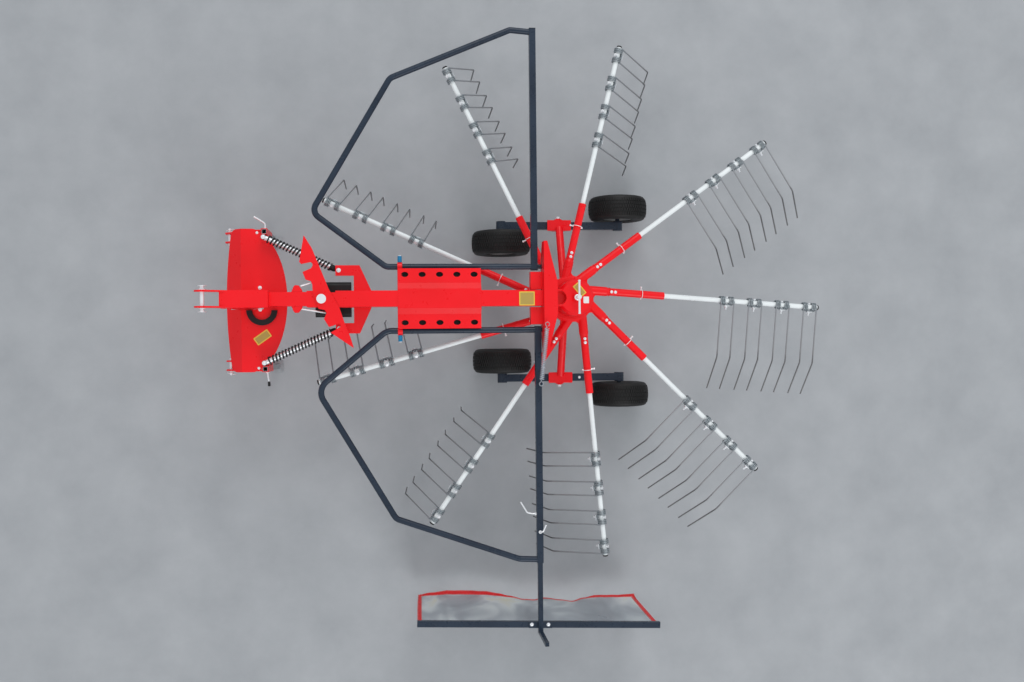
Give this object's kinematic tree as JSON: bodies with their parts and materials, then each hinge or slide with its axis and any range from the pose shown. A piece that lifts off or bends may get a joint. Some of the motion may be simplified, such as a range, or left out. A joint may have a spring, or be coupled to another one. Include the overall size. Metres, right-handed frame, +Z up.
{
  "type": "single rotor hay rake",
  "caption": "Three-point mounted hay rake with one rotor of tine arms, folding guards, a swath curtain and bogie wheels.",
  "frame": {"origin": "on the ground in the middle of the machine's bounding box", "axes": "+X rear of the machine, +Y its right-hand side, +Z up"},
  "size_m": [4.0359, 3.8693, 1.12],
  "materials": {
    "red_paint": "glossy red powder coat",
    "dark_paint": "satin slate black powder coat",
    "white_paint": "pale galvanised tube",
    "zinc": "bright zinc plate",
    "spring_steel": "grey zinc coated spring steel",
    "black_plastic": "black moulded plastic",
    "blue_plastic": "blue moulded plastic",
    "curtain_film": "pale coated curtain with a red hem",
    "tyre_rubber": "black rubber",
    "rim_paint": "pale grey rim paint"
  },
  "bodies": {
    "root": {"drawbar": "red_paint", "swivel_pin": "zinc", "lock_plate": "red_paint", "front_yoke": "red_paint", "shaft_shroud": "black_plastic", "drive_shaft": "zinc", "cover_plate": "red_paint", "cross_bracket": "red_paint", "gearbox_housing": "red_paint", "height_crank": "zinc", "rotor_column": "red_paint", "axle": "red_paint", "bogie_right": "dark_paint", "bogie_left": "dark_paint", "guard_lock_knobs": "blue_plastic", "balance_spring": "zinc", "strut_right": "spring_steel", "strut_left": "spring_steel"},
    "headstock": {"headstock_frame": "red_paint", "headstock_shield": "red_paint", "strut_lugs": "zinc", "link_pins": "zinc", "shaft_hook": "black_plastic"},
    "parking_leg_right": {"leg_right": "zinc"},
    "parking_leg_left": {"leg_left": "zinc"},
    "guard_right": {"guard_right": "dark_paint"},
    "guard_left": {"guard_left": "dark_paint"},
    "curtain": {"curtain_frame": "dark_paint", "curtain_sheet": "curtain_film"},
    "rotor": {"rotor_hub": "red_paint", "tine_arms": "white_paint", "tines_1": "spring_steel", "tines_2": "spring_steel", "tines_3": "spring_steel", "tines_4": "spring_steel", "tines_5": "spring_steel", "tines_6": "spring_steel", "tines_7": "spring_steel", "tines_8": "spring_steel", "tines_9": "spring_steel"},
    "wheel_front_right": {"tyre_front_right": "tyre_rubber", "rim_front_right": "rim_paint"},
    "wheel_rear_right": {"tyre_rear_right": "tyre_rubber", "rim_rear_right": "rim_paint"},
    "wheel_front_left": {"tyre_front_left": "tyre_rubber", "rim_front_left": "rim_paint"},
    "wheel_rear_left": {"tyre_rear_left": "tyre_rubber", "rim_rear_left": "rim_paint"}
  },
  "joints": [
    {"name": "headstock_swivel", "type": "hinge", "parent": "root", "child": "headstock", "pos_m": [-1.273, 0.2211, 0.85], "axis": [0, 0, 1], "range_deg": [-15, 15], "stiffness_Nm_per_rad": 400, "deforming": ["strut_right", "strut_left"]},
    {"name": "leg_right_slide", "type": "slide", "parent": "headstock", "child": "parking_leg_right", "axis": [0, 0, 1], "range_m": [0, 0.3]},
    {"name": "leg_left_slide", "type": "slide", "parent": "headstock", "child": "parking_leg_left", "axis": [0, 0, 1], "range_m": [0, 0.3]},
    {"name": "guard_right_fold", "type": "hinge", "parent": "root", "child": "guard_right", "pos_m": [0.054, 0.4211, 0.84], "axis": [1, 0, 0], "range_deg": [0, 90]},
    {"name": "guard_left_fold", "type": "hinge", "parent": "root", "child": "guard_left", "pos_m": [0.074, 0.0211, 0.84], "axis": [-1, 0, 0], "range_deg": [0, 90], "deforming": ["balance_spring"]},
    {"name": "curtain_slide", "type": "slide", "parent": "guard_left", "child": "curtain", "axis": [0, -1, 0], "range_m": [-0.25, 0.25]},
    {"name": "rotor_turn", "type": "hinge", "parent": "root", "child": "rotor", "pos_m": [0.312, 0.2211, 0.66], "axis": [0, 0, 1], "continuous": true},
    {"name": "wheel_front_right_turn", "type": "hinge", "parent": "root", "child": "wheel_front_right", "pos_m": [-0.088, 0.6276, 0.203], "axis": [0, 1, 0], "continuous": true},
    {"name": "wheel_rear_right_turn", "type": "hinge", "parent": "root", "child": "wheel_rear_right", "pos_m": [0.733, 0.8666, 0.203], "axis": [0, 1, 0], "continuous": true},
    {"name": "wheel_front_left_turn", "type": "hinge", "parent": "root", "child": "wheel_front_left", "pos_m": [-0.088, -0.1854, 0.203], "axis": [0, 1, 0], "continuous": true},
    {"name": "wheel_rear_left_turn", "type": "hinge", "parent": "root", "child": "wheel_rear_left", "pos_m": [0.733, -0.4244, 0.203], "axis": [0, 1, 0], "continuous": true}
  ]
}
